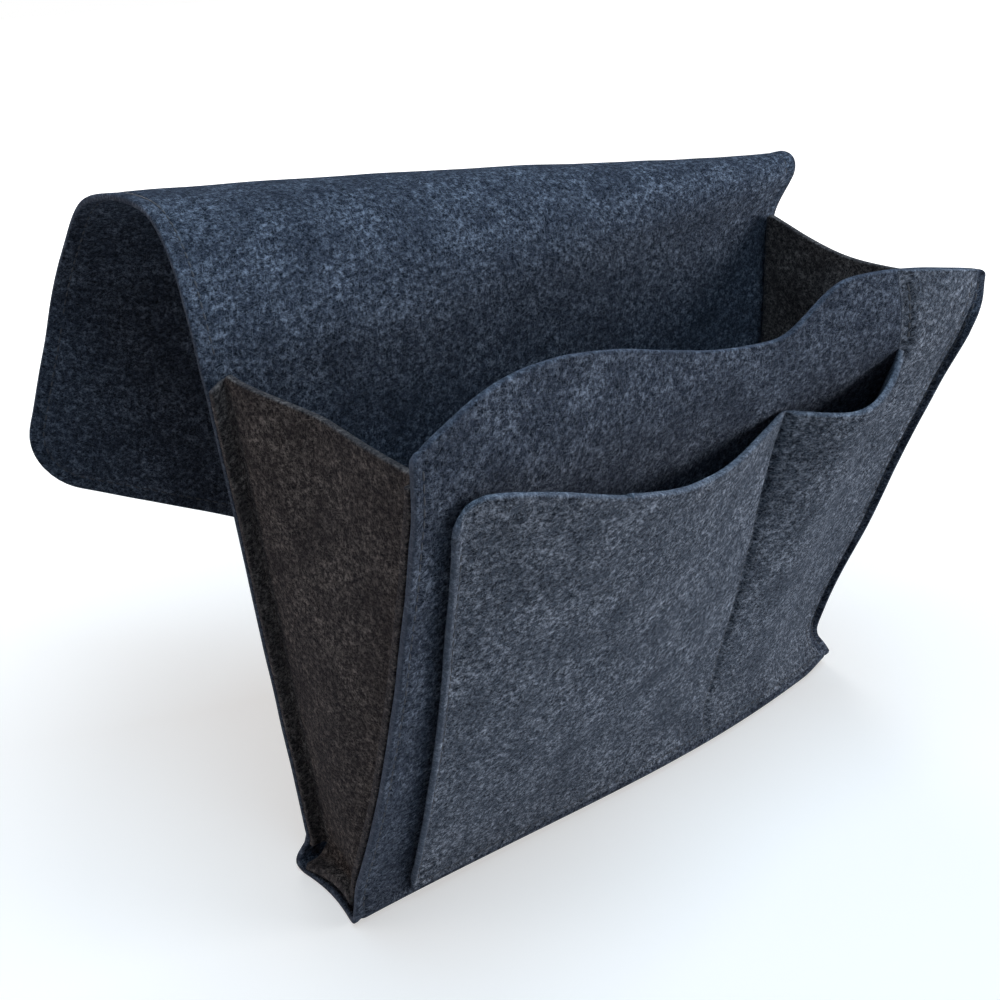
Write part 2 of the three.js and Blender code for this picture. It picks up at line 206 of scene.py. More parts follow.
# long sheet, first half: base, back, fold over the bed edge and flap
longSheet = {
    "foldRadius": 0.006,  # at the middle of the felt
    "baseDepth": 2 * backHigh.y,
    "length": 0.553,  # from the floor line of the back to the end of the flap
    "cornerRadius": 0.030,
    "cornerLoss": 0.0004,  # area that the two round corners take off
    "apexOut": 0.052,  # beyond the right edge, where all fold lines meet
    "apexHeight": 0.2765,
    "slope": radians(7.1),
    "coneAngle": radians(11.2),
    "turn": radians(176),
    "edgeStitch": 0.0065,
}
foldRadius, sheetEnd = longSheet["foldRadius"], longSheet["length"]
slope, coneAngle = longSheet["slope"], longSheet["coneAngle"]
backFoldY = rearY - foldRadius
frontFoldY = -longSheet["baseDepth"] / 2 + halfFelt + foldRadius
baseRun = backFoldY - frontFoldY
backFoldLength = foldRadius * pi / 2
splitW = backFoldLength + baseRun / 2  # the sheet's two halves meet under the base
footS = halfFelt + foldRadius  # where the back leaves its fold

apex = Vector((halfWidth + longSheet["apexOut"], rearY, longSheet["apexHeight"]))
firstRuling = Vector((-cos(slope), 0, -sin(slope)))
upSheet = Vector((-sin(slope), 0, cos(slope)))
coneAxis = firstRuling * cos(coneAngle) + Vector((0, sin(coneAngle), 0))
foldSector = longSheet["turn"] * sin(coneAngle)


def foldLine(x, share):  # height on the flat sheet of a fold line
    return apex.z + (apex.x - x) * tan(share * foldSector - slope)


def overBed(x, s):
    reach = hypot(x - apex.x, s - apex.z)
    angle = atan2(s - apex.z, apex.x - x) + slope
    bent = clamp(angle, 0, foldSector)
    spin = Matrix.Rotation(bent / sin(coneAngle), 3, coneAxis)
    flat = firstRuling * cos(angle - bent) + upSheet * sin(angle - bent)
    return apex + spin @ flat * reach


front = {
    "lean": radians(18.7),
    "run": 0.221,  # straight part, up the slope
    "rimRadius": 0.088,
    "height": 0.253,  # up the slope, at both top corners
    "flatEdge": 0.010,
    "footLeft": 0.0035,  # how far the foot stands out: at its ends and, over these, in the middle
    "footRight": 0.009,
    "footBow": 0.0095,
    "bowSkew": 1.5,
    "endHeight": 0.030,  # the ends of the foot fall back over this height
    "leftCurl": radians(9),  # the sewn margins turn forward
    "rightCurl": radians(66),
    "curlWidth": 0.010,
    "curlRadius": 0.004,
    "curlStart": (0.012, 0.04),
    "curlTop": 0.222,  # they lie flatter again near the top corners
    "curlFade": 0.024,
    "curlLoss": 0.85,
    "corner": 0.0028,
    "rimDip": 0.010,
    "dipStart": 0.089,
    "twist": 0.006,
    "leftInset": 0.052,
    "leftRise": 0.017,
    "scoopInset": 0.132,
    "scoopDrop": 0.0075,
    "rightInset": 0.090,
    "rightRise": 0.0105,
    "rightDrop": 0.0035,
    "edgeSlack": 0.012,  # what the wave adds to the sheet's length
    "turnBehind": 0.004,  # the foot's crease turns from here
    "turnAhead": 0.016,
    "turnHeight": 0.030,
}
footTurn = pi / 2 - front["lean"]
frontFoldLength = foldRadius * footTurn
wrapLength = backFoldLength + baseRun + frontFoldLength


def bowAcross(x):
    span = halfWidth - front["flatEdge"]
    return cos(pi * x / (2 * span)) ** 2 if abs(x) < span else 0


def footShift(x, s):  # how far the foot of the front stands out
    t = clamp((x + halfWidth) / (2 * halfWidth))
    ends = mix(front["footLeft"], front["footRight"], t) * max(0, 1 - s / front["endHeight"]) ** 2
    bow = front["footBow"] * sin(pi * t ** front["bowSkew"])
    return ends + bow * max(0, 1 - s / front["run"]) ** 2


def marginCurl(x, s):  # how far a sewn margin comes in and forward
    beyond = abs(x) - halfWidth + front["curlWidth"]
    if beyond <= 0:
        return 0, 0
    angle = front["rightCurl"] if x > 0 else front["leftCurl"]
    flatter = front["curlLoss"] * over(s, front["curlTop"], front["curlFade"])
    angle *= over(s, *front["curlStart"]) * (1 - flatter)
    turn = min(beyond / front["curlRadius"], angle)
    rest = max(0, beyond - front["curlRadius"] * angle)
    along = front["curlRadius"] * sin(turn) + rest * cos(angle)
    forward = front["curlRadius"] * (1 - cos(turn)) + rest * sin(angle)
    return copysign(beyond - along, x), forward


def underBase(x, w):  # w runs from the back, under the pouch, to the front
    if w < backFoldLength:
        turn = w / foldRadius
        return Vector((x, backFoldY + foldRadius * cos(turn), footS - foldRadius * sin(turn)))
    if w < backFoldLength + baseRun:
        return Vector((x, backFoldY - (w - backFoldLength) * (1 + footShift(x, 0) / baseRun), halfFelt))
    turn = (w - backFoldLength - baseRun) / foldRadius
    y = frontFoldY - footShift(x, 0) - foldRadius * sin(turn)
    return Vector((x, y, halfFelt + foldRadius * (1 - cos(turn))))


def longPoint(x, s):
    return overBed(x, s) if s >= footS else underBase(x, footS - s)


def insideEdge(x, s):  # distance from the flap's outline
    radius = longSheet["cornerRadius"]
    dx = abs(x) - (halfWidth - radius)
    ds = s - (sheetEnd - radius)
    if dx > 0 and ds > 0:
        return radius - hypot(dx, ds)
    return min(radius - dx, radius - ds)


# how the fold has settled: its right end flares, its left end is squarer, and the flap hangs in
# shares count from the middle to a side edge, or from the start of the fold to its end
ridge = {
    "flare": 0.0195,
    "flareX": 0.04,
    "flareFrom": 0.246,
    "flareTo": 0.284,
    "flareHold": 0.020,
    "flareFade": 0.11,
    "sinkLeft": 0.0018,
    "sinkMiddle": 0.0015,
    "sinkRight": 0.0035,
    "sinkSwell": 1.4,
    "sinkEnd": 10,  # the higher, the nearer the edge it lifts again
    "sinkFade": 0.15,
    "flapSwing": 0.090,
    "flapPivot": 0.215,
    "swingFold": (0.4, 0.6),
    "swingX": (-0.02, 0.16),  # its right side keeps clear of the back
    "squareOut": 0.012,
    "squareUp": -0.0025,
    "squareSide": (0.3, 0.7),
    "squareFold": (0.38, 0.45),
    "flapLift": 0.0022,  # its lower left corner
    "flapIn": 0.003,
    "cornerSide": (0.2, 0.8),
    "cornerDown": (0.40, 0.14),
}


def ridgeShift(x, s, z):
    rising = over(s, ridge["flareFrom"], ridge["flareTo"] - ridge["flareFrom"])
    flare = ridge["flare"] * over(x, ridge["flareX"], halfWidth - ridge["flareX"]) * rising
    flare *= 1 - over(s - ridge["flareTo"], ridge["flareHold"], ridge["flareFade"])
    leftShare, rightShare = max(0, -x / halfWidth), max(0, x / halfWidth)
    sink = ridge["sinkMiddle"] + ridge["sinkLeft"] * leftShare**2
    sink += ridge["sinkRight"] * (ridge["sinkSwell"] * rightShare**2 - rightShare ** ridge["sinkEnd"])
    sink *= rising * (1 - over(s, foldLine(x, 1), ridge["sinkFade"]))
    folded = (s - foldLine(x, 0)) / (foldLine(x, 1) - foldLine(x, 0))
    squareFrom, squareSpan = ridge["squareFold"]
    hump = sin(pi * clamp((folded - squareFrom) / squareSpan)) ** 2
    square = over(leftShare, *ridge["squareSide"]) * hump
    swing = ridge["flapSwing"] * (z - ridge["flapPivot"]) * over(folded, *ridge["swingFold"])
    swing *= 1 - over(x, *ridge["swingX"])
    lower = over(leftShare, *ridge["cornerSide"]) * over(s, *ridge["cornerDown"])
    across = flare + ridge["flapIn"] * lower
    up = ridge["squareUp"] * square + ridge["flapLift"] * lower - sink
    return Vector((across, swing + ridge["squareOut"] * square, up))


def longPlace(p):  # for a place given by its height on the flat sheet
    x, s = clamp(p.x, -halfWidth, halfWidth), p.y
    pinch = 0
    if s > sag["leanTop"]:
        pinch = groove(insideEdge(x, s) - longSheet["edgeStitch"])
    elif s > footS:
        pinch = groove(halfWidth - abs(x) - seams["inset"])
    point = offset(longPoint, x, s, p.z * (1 - seams["pinch"] * pinch))
    return settle(point + ridgeShift(x, s, point.z), max(s, 0))


# the flap turns apart from the back: where it begins, and over what lengths the turn grows
split = {
    "row": 0.385,  # of the mesh, along the end of the fold
    "from": 0.200,  # rows above this fan out towards it
    "end": 0.015,  # rows at the flap's end keep their spacing
    "sideX": 0.15,  # the line is straight between two points this far out
    "rounds": 8,
    "onFlap": 0.5,  # a height where the flap is flat
    "clear": 0.002,  # behind the middle of the back, where the turn starts
    "acrossFold": 0.200,
    "downFlap": 0.060,
}


def foldEnd(x):
    return longPlace(Vector((x, foldLine(x, 1), 0)))


leftFoldEnd, rightFoldEnd = foldEnd(-split["sideX"]), foldEnd(split["sideX"])
flapNormal = normalAt(overBed, 0, split["onFlap"])
downFlap = flapNormal.cross(rightFoldEnd - leftFoldEnd).normalized()
if downFlap.z > 0:
    downFlap = -downFlap
flapTops = {}


def flapTop(x):  # height on the flat sheet where the flap begins, straight across once folded
    if x not in flapTops:
        s = foldLine(x, 1)
        for _ in range(split["rounds"]):
            s -= (longPlace(Vector((x, s, 0))) - leftFoldEnd).dot(downFlap)
        flapTops[x] = s
    return flapTops[x]


def longS(x, b):
    if b < split["from"]:
        return b
    x = round(clamp(x, -halfWidth, halfWidth), 6)
    if b < split["row"]:
        return mix(split["from"], flapTop(x), (b - split["from"]) / (split["row"] - split["from"]))
    end = sheetEnd - cornerCut(abs(x) - halfWidth, longSheet["cornerRadius"])
    toEnd = sheetEnd - b
    if toEnd < split["end"]:
        return end - toEnd
    share = (b - split["row"]) / (sheetEnd - split["end"] - split["row"])
    return mix(flapTop(x), end - split["end"], share)


def longPattern(p):
    return Vector((p.x, longS(p.x, p.y), p.z))


def longFold(p):
    return longPlace(longPattern(p))


# long sheet, second half: base and front
def frontPoint(x, s):
    lean, run, radius = front["lean"], front["run"], front["rimRadius"]
    straight = min(s, run)
    turn = clamp((s - run) / radius, 0, lean)
    upright = max(0, s - run - radius * lean)
    startY = frontFoldY - foldRadius * sin(footTurn)
    startZ = halfFelt + foldRadius * (1 - cos(footTurn))
    rimLean = radius * (cos(lean - turn) - cos(lean))
    rimRise = radius * (sin(lean) - sin(lean - turn))
    dip = front["rimDip"] * over(s, front["dipStart"], run - front["dipStart"]) * bowAcross(x)
    twist = front["twist"] * x / halfWidth * sin(pi * max(straight, 0) / run)
    y = startY - straight * sin(lean) - rimLean + dip + twist
    inward, forward = marginCurl(x, s)
    y -= footShift(x, s) + forward
    z = startZ + straight * cos(lean) + rimRise + upright
    return Vector((x - inward, y, z))


def frontEdge(x):  # the cut wavy edge
    leftPeak = front["leftInset"] - halfWidth
    scoop = halfWidth - front["scoopInset"]
    rightPeak = halfWidth - front["rightInset"]
    left = front["height"] + front["leftRise"]
    low = front["height"] - front["scoopDrop"]
    right = front["height"] + front["rightRise"]
    corner = cornerCut(abs(x) - halfWidth, front["corner"])
    if x < leftPeak:
        return mix(front["height"], left, quarter((x + halfWidth) / front["leftInset"])) - corner
    if x < scoop:
        return wave(left, low, (x - leftPeak) / (scoop - leftPeak))
    if x < rightPeak:
        return wave(low, right, (x - scoop) / (rightPeak - scoop))
    corner += front["rightDrop"] * (1 - quarter((halfWidth - x) / front["rightInset"]))
    return mix(front["height"], right, quarter((halfWidth - x) / front["rightInset"])) - corner


def frontS(x, b):  # b counts from the back, under the base and up the front
    s = b - wrapLength
    if s <= front["run"]:
        return s
    share = (s - front["run"]) / (front["height"] - front["run"])
    return mix(front["run"], frontEdge(x), share)


def wrapPoint(x, b):
    return underBase(x, b) if b <= wrapLength else frontPoint(x, b - wrapLength)


def frontFold(p):
    x = clamp(p.x, -halfWidth, halfWidth)
    b = frontS(x, p.y) + wrapLength
    pinch = groove(halfWidth - abs(x) - seams["inset"])
    point = offset(wrapPoint, x, b, p.z * (1 - seams["pinch"] * pinch))
    return settle(point, point.z)


def frontPattern(p):
    return Vector((p.x, -(frontS(p.x, p.y) + wrapLength), p.z))


# gussets: a wedge wall with margins turned out, notched at its two lower corners
gusset = {
    "margin": 0.008,
    "notch": 0.004,
    "bend": 0.003,
    "wallRef": 0.085,  # width of the wall before it is folded, the same at every height
    "backHeight": 0.2455,
    "foot": 0.0048,  # middle of the margin that lies on the base
    "bow": 0.004,  # the wall bellies out a little
    "bowRise": 1.15,  # over 1, so the belly ends below the top
    "frontFoot": 0.006,  # its front edge starts this far up the slope
    "frontLift": 0.0015,
    "sagGrowth": 3,
    "cornerDrop": 0.006,  # the rear margin's top is cut aslant
    "cornerGrowth": 12,
    "flatFoot": 0.45,  # widths on the cutting table, as shares of wallRef
    "flatTop": 1.35,
    "left": {"side": -1, "front": 0.2405, "backRise": 0, "sag": 0.002},  # front: up the slope
    "right": {"side": 1, "front": 0.2475, "backRise": 0.007, "sag": 0.009},
}
wallX = halfWidth - gusset["margin"]
bendLength = gusset["bend"] * pi / 2
marginRun = gusset["margin"] - gusset["bend"]
sideRun = marginRun + bendLength
wallRise = gusset["backHeight"] - gusset["foot"] - gusset["bend"]


def turnedOut(d):  # past the wall's edge: how far out and how far along the sheet
    if d <= 0:
        return 0, 0
    turn = min(d / gusset["bend"], pi / 2)
    out = gusset["bend"] * (1 - cos(turn)) + max(0, d - bendLength)
    return out, gusset["bend"] * sin(turn)


def gussetPoint(shape, a, b):
    side = shape["side"]
    half = gusset["wallRef"] / 2
    t = clamp((a + half) / gusset["wallRef"])
    beyondBack = max(0, -half - a)
    beyondFront = max(0, a - half)
    up = clamp(b / wallRise)
    outSide, alongSide = turnedOut(beyondBack + beyondFront)
    outFoot, alongFoot = turnedOut(-b)
    lift = gusset["foot"] + gusset["bend"]
    back = Vector((0, rearY - layerStep - gusset["bend"], lift + up * (wallRise + shape["backRise"])))
    s = mix(gusset["frontFoot"], shape["front"], up)
    inner = offset(frontPoint, side * (halfWidth - front["curlWidth"]), s, -layerStep)
    face = Vector((0, inner.y + gusset["bend"], inner.z + gusset["frontLift"]))
    point = back.lerp(face, t)
    point.y += alongSide * (1 if beyondBack else -1)
    point.z -= alongFoot + shape["sag"] * sin(pi * t) * up ** gusset["sagGrowth"]
    point.z -= gusset["cornerDrop"] * beyondBack / sideRun * up ** gusset["cornerGrowth"]
    bow = gusset["bow"] * sin(pi * t) * sin(pi * min(up * gusset["bowRise"], 1))
    point.x = side * (wallX + outSide + outFoot + bow)
    if beyondFront:  # this margin turns with the front's
        turned = offset(frontPoint, side * (wallX + outSide), s, -layerStep)
        point += turned - Vector((side * (wallX + outSide), inner.y, inner.z))
    return point


def gussetFold(shape):
    surface = lambda a, b: gussetPoint(shape, a, b)

    def fold(p):
        point = offset(surface, p.x, p.y, p.z)
        return settle(point, point.z)

    return fold


def gussetPattern(p):
    spread = mix(gusset["flatFoot"], gusset["flatTop"], clamp(p.y / wallRise))
    half = gusset["wallRef"] / 2
    inside = clamp(p.x, -half, half)
    return Vector((inside * spread + p.x - inside, p.y, p.z))


# pocket piece: a runs along its mouth, b up from its foot
pocket = {
    "leftTop": 0.014,
    "leftFoot": 0.028,
    "right": 0.010,
    "foot": 0.004,
    "corner": 0.014,
    "smallMouth": 0.067,
    "strip": 0.041,  # sewn down beside the small mouth, up to the top edge
    "stripLean": 0.0125,
    "leftHeight": 0.235,
    "largeLow": 0.205,
    "largeLowInset": 0.039,
    "smallHeight": 0.211,
    "smallRiseAt": 0.022,
    "tipHeight": 0.2235,
    "tipRun": 0.048,
    "largeBulge": 0.020,
    "smallBulge": 0.016,
    "growth": 1.3,
    "dividerDepth": 0.0010,
    "dividerWidth": 0.0026,
    "dividerGroove": 0.0016,
    "tall": 0.215,  # on the cutting table, up to the mouth
    "stripTall": 0.040,
    "slack": 0.001,  # places this near the strip belong to it
    "pressed": 0.006,  # width of the strip's inner edge, sewn down flat
    "pressShare": 0.9,
    "sunk": 0.0005,  # and drawn into the front by its stitches
    "curl": 0.0030,  # the raw left edge stands off the front
    "curlWidth": 0.006,
    "curlGrowth": 8,  # full at an eighth of the height
    "patternX": 0.4,  # its melange isn't the front's
}
pocketLeftTop = pocket["leftTop"] - halfWidth
pocketLeftFoot = pocket["leftFoot"] - halfWidth
pocketRight = halfWidth - pocket["right"]
pocketWidth = pocketRight - pocketLeftTop
pocketTop = pocket["tall"] + pocket["stripTall"]
smallEnd = pocketWidth - pocket["strip"]
largeEnd = smallEnd - pocket["smallMouth"]
largeLowAt = largeEnd - pocket["largeLowInset"]


def pocketEdge(a):
    level = largeEnd + pocket["smallRiseAt"]
    climb = smallEnd - pocket["tipRun"]
    if a > climb:
        return mix(pocket["tipHeight"], pocket["smallHeight"], quarter((smallEnd - a) / pocket["tipRun"]))
    if a > level:
        return pocket["smallHeight"]
    if a > largeLowAt:
        return wave(pocket["largeLow"], pocket["smallHeight"], (a - largeLowAt) / (level - largeLowAt))
    left = wave(pocket["leftHeight"], pocket["largeLow"], a / largeLowAt)
    return left - cornerCut(-a, pocket["corner"])


def pocketBulge(a, v):
    lift = clamp(v) ** pocket["growth"]
    if a < largeEnd:
        return pocket["largeBulge"] * lift * sin(pi * max(a, 0) / largeEnd)
    if a > smallEnd:
        return 0
    return pocket["smallBulge"] * lift * sin(pi * (a - largeEnd) / pocket["smallMouth"])


def pocketPlace(a, b):
    v = b / pocket["tall"]
    if v > 1 and a > smallEnd - pocket["slack"]:
        up = (b - pocket["tall"]) / pocket["stripTall"]
        edge = pocketLeftTop + smallEnd - pocket["stripLean"] * up
        x = mix(edge, pocketRight, (a - smallEnd) / pocket["strip"])
        return x, mix(pocket["tipHeight"], frontEdge(x), up)
    left = mix(pocketLeftFoot, pocketLeftTop, v)
    return mix(left, pocketRight, a / pocketWidth), mix(pocket["foot"], pocketEdge(a), v)


def pocketPoint(a, b):
    x, s = pocketPlace(a, b)
    v = b / pocket["tall"]
    curl = pocket["curl"] * max(0, 1 - a / pocket["curlWidth"]) ** 2 * ease(v * pocket["curlGrowth"])
    return offset(frontPoint, x, s, layerStep + pocketBulge(a, v) + curl)


def pocketFold(p):
    a, b = clamp(p.x, 0, pocketWidth), clamp(p.y, 0, pocketTop)
    inset = seams["pocketInset"]
    overFoot = pocketPlace(a, b)[1] - pocket["foot"] - inset
    pinch = groove(a - inset) + groove(a - pocketWidth + inset) + groove(overFoot)
    if b < pocket["tall"]:
        pinch += groove(a - largeEnd, pocket["dividerGroove"])
    else:
        pinch += groove(a - smallEnd - inset)
    height = p.z * (1 - seams["pinch"] * min(pinch, 1))
    if b < pocket["tall"]:  # the divider draws the outer face in
        line = groove(a - largeEnd, pocket["dividerWidth"])
        height -= pocket["dividerDepth"] * line * (p.z / halfFelt + 1) / 2
    if b > pocket["tall"] - pocket["pressed"]:
        share = ease((b - pocket["tall"]) / pocket["pressed"] + 1)
        share *= (1 - over(a, smallEnd, pocket["pressed"])) * (a >= smallEnd)
        height -= ((height + halfFelt) * pocket["pressShare"] + pocket["sunk"]) * share
    point = offset(pocketPoint, a, b, height)
    return settle(point, point.z)


def pocketPattern(p):
    x, s = pocketPlace(clamp(p.x, 0, pocketWidth), p.y)
    return Vector((x + pocket["patternX"], s, p.z))


# a felt piece is cut flat with its thickness and rounded edges, then folded into place
def cutFelt(columns, rows, removed=None):
    bm = bmesh.new()
    bmesh.ops.create_grid(bm, x_segments=len(columns) - 1, y_segments=len(rows) - 1, size=0.5)
    for v in bm.verts:
        column = round((v.co.x + 0.5) * (len(columns) - 1))
        row = round((v.co.y + 0.5) * (len(rows) - 1))
        v.co = (columns[column], rows[row], -halfFelt)
    if removed:
        waste = [f for f in bm.faces if removed(f.calc_center_median())]
        bmesh.ops.delete(bm, geom=waste, context="FACES")
    raised = bmesh.ops.extrude_face_region(bm, geom=bm.faces[:])
    moved = [g for g in raised["geom"] if isinstance(g, bmesh.types.BMVert)]
    bmesh.ops.translate(bm, verts=moved, vec=(0, 0, 2 * halfFelt))
    bmesh.ops.recalc_face_normals(bm, faces=bm.faces[:])
    return bm


def roundRim(bm, keepsEdge=None):
    rim = []
    for e in bm.edges:
        sharp = len(e.link_faces) == 2 and e.calc_face_angle(0) > felt["sharpTurn"]
        if sharp and not (keepsEdge and keepsEdge(e)):
            rim.append(e)
    bmesh.ops.bevel(
        bm, geom=rim, offset=felt["edgeRound"], offset_type="OFFSET", segments=2,
        profile=0.5, affect="EDGES", clamp_overlap=True, material=-1,
    )


def foldFelt(name, bm, fold, pattern, material, paleEdgeAndHighlight=lambda p: felt["paleEdgeAndHighlight"], keepsEdge=None):
    flatPoint = bm.verts.layers.float_vector.new("flatPoint")
    cutEdge = bm.verts.layers.float.new("cutEdge")
    bm.normal_update()
    for e in bm.edges:
        e.smooth = not (keepsEdge and keepsEdge(e))
    for v in bm.verts:
        steep = sum(abs(f.normal.z) < felt["upward"] for f in v.link_faces)
        # share of the pale edge colour at a cut edge: paler fibres and a painted highlight
        v[cutEdge] = paleEdgeAndHighlight(v.co) * steep / max(1, len(v.link_faces))
        v[flatPoint] = pattern(v.co)
    for v in bm.verts:
        v.co = fold(v.co)
    for f in bm.faces:
        f.smooth = True
    return finished(name, bm, material)


def linked(name, data):
    obj = bpy.data.objects.new(name, data)
    bpy.context.scene.collection.objects.link(obj)
    return obj


def finished(name, bm, material):
    mesh = bpy.data.meshes.new(name)
    bm.to_mesh(mesh)
    bm.free()
    mesh.materials.append(material)
    return linked(name, mesh)


lying = Matrix.Rotation(pi / 2, 4, "Y")  # a sphere's poles at the ends of the stitch


def stitchRow(name, path, heights, fold):
    bm = bmesh.new()
    for height in heights:
        placed = [fold(Vector((a, b, height))) for a, b in path]
        walked = [0]
        for here, there in zip(placed, placed[1:]):
            walked.append(walked[-1] + (there - here).length)
        pitch = seams["stitch"] + seams["space"]
        count = max(1, int(walked[-1] / pitch))
        for i in range(count):
            along = (i + 0.5) / count * walked[-1]
            k = next(n for n in range(1, len(walked)) if walked[n] >= along - 1e-9)
            share = (along - walked[k - 1]) / max(walked[k] - walked[k - 1], 1e-9)
            start, end = Vector(path[k - 1]), Vector(path[k])
            centre = start.lerp(end, share)
            heading = atan2(end.y - start.y, end.x - start.x)
            place = Matrix.Translation((centre.x, centre.y, height))
            place @= Matrix.Rotation(heading + seams["slant"], 4, "Z")
            place @= Matrix.Diagonal((seams["stitch"] / 2, seams["thick"], seams["thick"], 1))
            bmesh.ops.create_uvsphere(
                bm, u_segments=seams["around"], v_segments=seams["along"], radius=1, matrix=place @ lying,
            )
    flatPoint = bm.verts.layers.float_vector.new("flatPoint")
    for v in bm.verts:
        v[flatPoint] = v.co
        v.co = fold(v.co)
    for f in bm.faces:
        f.smooth = True
    return finished(name, bm, thread)


# materials
def fromScreen(r, g, b):
    def linear(v):
        v /= 255
        return v / 12.92 if v <= 0.04045 else ((v + 0.055) / 1.055) ** 2.4

    return linear(r), linear(g), linear(b), 1


def addNode(tree, kind, inputs=None, **settings):  # an input is a value or another node's socket
    made = tree.nodes.new(kind if kind.startswith("Node") else "ShaderNode" + kind)
    for key, value in settings.items():
        setattr(made, key, value)
    for key, value in (inputs or {}).items():
        if isinstance(value, bpy.types.NodeSocket):
            tree.links.new(value, made.inputs[key])
        else:
            made.inputs[key].default_value = value
    return made


def maths(tree, operation, first, second):
    return addNode(tree, "Math", {0: first, 1: second}, operation=operation).outputs[0]


def mixColour(tree, share, first, second):
    return addNode(tree, "Mix", {0: share, 6: first, 7: second}, data_type="RGBA").outputs[2]


fibre = {
    "length": 0.0034,
    "width": 0.00042,
    "angles": (0.3, 1.35, 2.45),
    "apart": (0.013, 0.029, 0.007),  # shift from one layer of fibres to the next
    "share": 0.5,  # how much fibres show beside specks
    "strand": (1, 1, 0.4, 0.62, 0.80),  # these four: scale, detail, roughness and the range that shows
    "speck": (430, 6, 0.85, 0.49, 0.70),
    "grain": (900, 4, 0.75, 0.38, 0.62),
    "cloud": (45, 3, 0.5, 0.1, 0.7),
    "bend": 0.0008,
    "bendScale": 330,
}


def noiseAt(tree, point, scale, detail, roughness, low, high):
    values = {"Vector": point, "Scale": scale, "Detail": detail, "Roughness": roughness}
    spots = addNode(tree, "TexNoise", values).outputs[0]
    return addNode(tree, "MapRange", {"Value": spots, "From Min": low, "From Max": high}).outputs[0]


def fibreGroup():
    tree = bpy.data.node_groups.new("feltFibres", "ShaderNodeTree")
    tree.interface.new_socket("Point", in_out="INPUT", socket_type="NodeSocketVector")
    for name in ("Ground", "Dark", "Fleck"):
        tree.interface.new_socket(name, in_out="INPUT", socket_type="NodeSocketColor")
    tree.interface.new_socket("Color", in_out="OUTPUT", socket_type="NodeSocketColor")
    tree.interface.new_socket("Height", in_out="OUTPUT", socket_type="NodeSocketFloat")
    given = addNode(tree, "NodeGroupInput").outputs
    point = given["Point"]
    warp = addNode(tree, "TexNoise", {"Vector": point, "Scale": fibre["bendScale"], "Detail": 1})
    centred = addNode(
        tree, "VectorMath", {0: warp.outputs["Color"], 1: (0.5, 0.5, 0.5)}, operation="SUBTRACT",
    )
    bent = addNode(
        tree, "VectorMath", {0: centred.outputs[0], 1: (fibre["bend"],) * 3, 2: point},
        operation="MULTIPLY_ADD",
    )
    flecks = noiseAt(tree, point, *fibre["speck"])
    for i, angle in enumerate(fibre["angles"]):
        laid = addNode(
            tree, "Mapping",
            {
                "Vector": bent.outputs[0],
                "Rotation": (0, 0, angle),
                "Location": [shift * i for shift in fibre["apart"]],
                "Scale": (fibre["length"], fibre["width"], fibre["width"] * 2),
            },
            vector_type="TEXTURE",
        )
        strand = noiseAt(tree, laid.outputs[0], *fibre["strand"])
        flecks = maths(tree, "MAXIMUM", flecks, maths(tree, "MULTIPLY", strand, fibre["share"]))
    grain = noiseAt(tree, point, *fibre["grain"])
    ground = mixColour(tree, grain, given["Dark"], given["Ground"])
    shown = maths(tree, "MULTIPLY", flecks, noiseAt(tree, point, *fibre["cloud"]))
    colour = mixColour(tree, shown, ground, given["Fleck"])
    addNode(tree, "NodeGroupOutput", {"Color": colour, "Height": maths(tree, "ADD", flecks, grain)})
    return tree


feltFibres = fibreGroup()


def newMaterial(name):
    material = bpy.data.materials.new(name)
    material.use_nodes = True
    return material, material.node_tree, material.node_tree.nodes["Principled BSDF"]


def finishSurface(tree, shader, colour, height, finish):
    values = {"Height": height, "Strength": finish["bump"], "Distance": finish["bumpDepth"]}
    bump = addNode(tree, "Bump", values)
    tree.links.new(colour, shader.inputs["Base Color"])
    tree.links.new(bump.outputs[0], shader.inputs["Normal"])
    shader.inputs["Roughness"].default_value = finish["roughness"]


feltFinish = {
    # edgeMix: share of the edge colour at a cut edge, which includes a painted highlight
    "edgeMix": 0.75,
    "bump": 0.35,
    "bumpDepth": 0.0005,
    "roughness": 0.95,
    "sheen": 0.12,
    "sheenRoughness": 0.5,
    "sheenTint": (150, 165, 190),
}


def feltMaterial(name, ground, dark, fleck, edge):
    material, tree, shader = newMaterial(name)
    point = addNode(tree, "Attribute", attribute_name="flatPoint")
    cut = addNode(tree, "Attribute", attribute_name="cutEdge")
    fibres = addNode(tree, "Group", node_tree=feltFibres)
    tree.links.new(point.outputs["Vector"], fibres.inputs["Point"])
    for key, value in (("Ground", ground), ("Dark", dark), ("Fleck", fleck)):
        fibres.inputs[key].default_value = fromScreen(*value)
    # cut edges mix toward the edge colour: paler fibres plus a painted highlight
    highlightedEdgeShare = maths(tree, "MULTIPLY", cut.outputs["Fac"], feltFinish["edgeMix"])
    colour = mixColour(tree, highlightedEdgeShare, fibres.outputs["Color"], fromScreen(*edge))
    finishSurface(tree, shader, colour, fibres.outputs["Height"], feltFinish)
    shader.inputs["Specular IOR Level"].default_value = 0
    shader.inputs["Sheen Weight"].default_value = feltFinish["sheen"]
    shader.inputs["Sheen Roughness"].default_value = feltFinish["sheenRoughness"]
    shader.inputs["Sheen Tint"].default_value = fromScreen(*feltFinish["sheenTint"])
    return material


threadFinish = {
    "dark": (20, 22, 27),
    "light": (56, 61, 72),
    "plyScale": 3200,
    "bump": 0.4,
    "bumpDepth": 0.0002,
    "roughness": 0.7,
}


def threadMaterial():
    material, tree, shader = newMaterial("sewingThread")
    point = addNode(tree, "Attribute", attribute_name="flatPoint").outputs["Vector"]
    values = {"Vector": point, "Scale": threadFinish["plyScale"], "Detail": 2}
    ply = addNode(tree, "TexNoise", values).outputs[0]
    colour = mixColour(tree, ply, fromScreen(*threadFinish["dark"]), fromScreen(*threadFinish["light"]))
    finishSurface(tree, shader, colour, ply, threadFinish)
    return material
